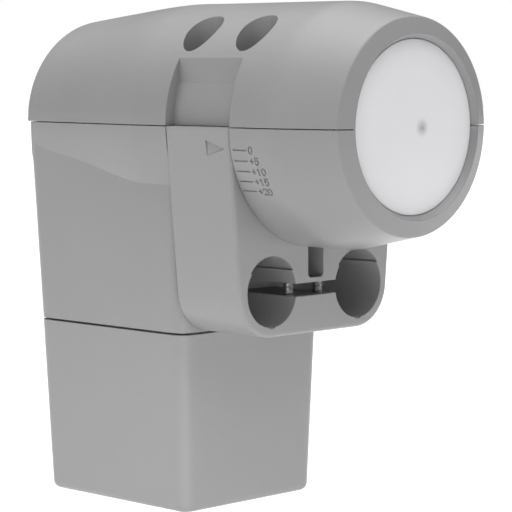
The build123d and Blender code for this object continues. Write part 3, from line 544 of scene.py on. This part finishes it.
socketLook = {
    "threadPitch": 0.79,       # mm, the fine thread that the cable plugs screw onto
    "threadDepth": 0.4,
    "bore": 3.2,
    "mouthBevel": 0.5,
    "hexWidth": 11.0,          # across flats
    "hexHeight": 4.3,
    "collarRadius": 4.0,
    "collarHeight": 2.6,
    "radius": 4.75,
    "steps": 48,
}


hexSteps = 72                  # a multiple of six, so that the corners fall on vertices


def hexSolid(bm, width, start, end, centre, bevel):
    # upright hexagonal prism with its corners turned off at both ends
    corner = width / math.sqrt(3)

    def hexRadius(shrink):
        def radius(angle):
            sector = (angle + math.pi / 6) % (math.pi / 3) - math.pi / 6
            flat = width / 2 / math.cos(sector)
            return min(flat, corner - shrink)
        return radius

    def turnedAngle(radius):
        return lambda angle: radius(angle - math.pi / 6)

    up = 1 if end > start else -1
    rows = [(start, turnedAngle(hexRadius(bevel))), (start + up * bevel * 0.5, turnedAngle(hexRadius(0.0))),
            (end - up * bevel * 0.5, turnedAngle(hexRadius(0.0))), (end, turnedAngle(hexRadius(bevel)))]
    return ringSurface(bm, rows, hexSteps, centre)


def makeSocket(name, node, setup):
    # threaded coaxial socket, mouth down
    low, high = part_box(node)
    centre = ((low.x + high.x) / 2, (low.y + high.y) / 2)
    radius, bore, bevel = setup["radius"] * mm, setup["bore"] * mm, setup["mouthBevel"] * mm
    collarStart = high.z - setup["collarHeight"] * mm
    hexStart = collarStart - setup["hexHeight"] * mm
    bm = bmesh.new()
    rows = [(high.z, bore), (low.z + bevel * 0.4, bore), (low.z, bore + bevel * 0.4), (low.z, radius - bevel),
            (low.z + bevel, radius - setup["threadDepth"] * mm * 0.5)]
    rows += threadRows(low.z + bevel * 1.4, hexStart - 0.3 * mm, radius, setup["threadDepth"] * mm,
                       setup["threadPitch"] * mm)
    rows += [(hexStart, radius - 0.2 * mm), (collarStart, radius - 0.2 * mm),
             (collarStart, setup["collarRadius"] * mm), (high.z, setup["collarRadius"] * mm)]
    rings = ringSurface(bm, rows, setup["steps"], centre)
    count = setup["steps"]
    for k in range(count):
        bm.faces.new((rings[-1][k], rings[-1][(k + 1) % count], rings[0][(k + 1) % count], rings[0][k]))
    rings = hexSolid(bm, setup["hexWidth"] * mm, hexStart, collarStart, centre, 0.6 * mm)
    eye = radius - 0.3 * mm
    wall = ringSurface(bm, [(hexStart, eye), (collarStart, eye)], hexSteps, centre)
    for ring, inner in ((rings[0], wall[0]), (rings[-1], wall[1])):
        for k in range(hexSteps):
            bm.faces.new((ring[k], ring[(k + 1) % hexSteps], inner[(k + 1) % hexSteps], inner[k]))
    piece = finishPiece(bm, name, node)
    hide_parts(node)


socketCentres = []
for place in ("left_front", "left_rear", "right_front", "right_rear"):
    node = "f_connector_" + place
    low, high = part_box(node)
    socketCentres.append(((low.x + high.x) / 2, (low.y + high.y) / 2))
    makeSocket("cableSocket" + "".join(word.capitalize() for word in place.split("_")), node, socketLook)

nutLook = {"width": 13.0, "bore": 4.8, "bevel": 0.8}


def makeNuts(setup):
    # pressed hexagon nuts under the connector plate, corners turned off
    low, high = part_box("connector_nuts")
    bm = bmesh.new()
    for centre in socketCentres:
        rings = hexSolid(bm, setup["width"] * mm, low.z, high.z, centre, setup["bevel"] * mm)
        bore, ease = setup["bore"] * mm, 0.25 * mm
        inner = ringSurface(bm, [(low.z, bore + ease), (low.z + ease, bore), (high.z - ease, bore),
                                 (high.z, bore + ease)], hexSteps, centre)
        for outer, hole in ((rings[0], inner[0]), (rings[-1], inner[-1])):
            for k in range(hexSteps):
                bm.faces.new((outer[k], outer[(k + 1) % hexSteps], hole[(k + 1) % hexSteps], hole[k]))
    piece = finishPiece(bm, "connectorNuts", "connector_nuts", 25)
    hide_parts("connector_nuts")


makeNuts(nutLook)

washerLook = {"outer": 4.2, "bore": 1.8, "edge": 0.14, "steps": 56}


def makeWasher(side, setup):
    # stamped washer: one edge rolled soft, the other crisp
    node = "clamp_washer_" + side
    low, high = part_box(node)
    centre = ((low.x + high.x) / 2, (low.y + high.y) / 2)
    outer, bore, edge = setup["outer"] * mm, setup["bore"] * mm, setup["edge"] * mm
    rows = [(low.z, bore + edge), (low.z, outer - edge * 2), (low.z + edge * 0.6, outer - edge * 0.6),
            (low.z + edge * 2, outer), (high.z - edge * 0.3, outer), (high.z, outer - edge * 0.3),
            (high.z, bore + edge * 0.3), (high.z - edge * 0.3, bore), (low.z + edge, bore)]
    bm = bmesh.new()
    count = setup["steps"]
    rings = ringSurface(bm, rows, count, centre)
    for k in range(count):
        bm.faces.new((rings[-1][k], rings[-1][(k + 1) % count], rings[0][(k + 1) % count], rings[0][k]))
    piece = finishPiece(bm, "clampWasher" + side.capitalize(), node)
    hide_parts(node)


for side in ("left", "right"):
    makeWasher(side, washerLook)
print("sockets, nuts and washers made")
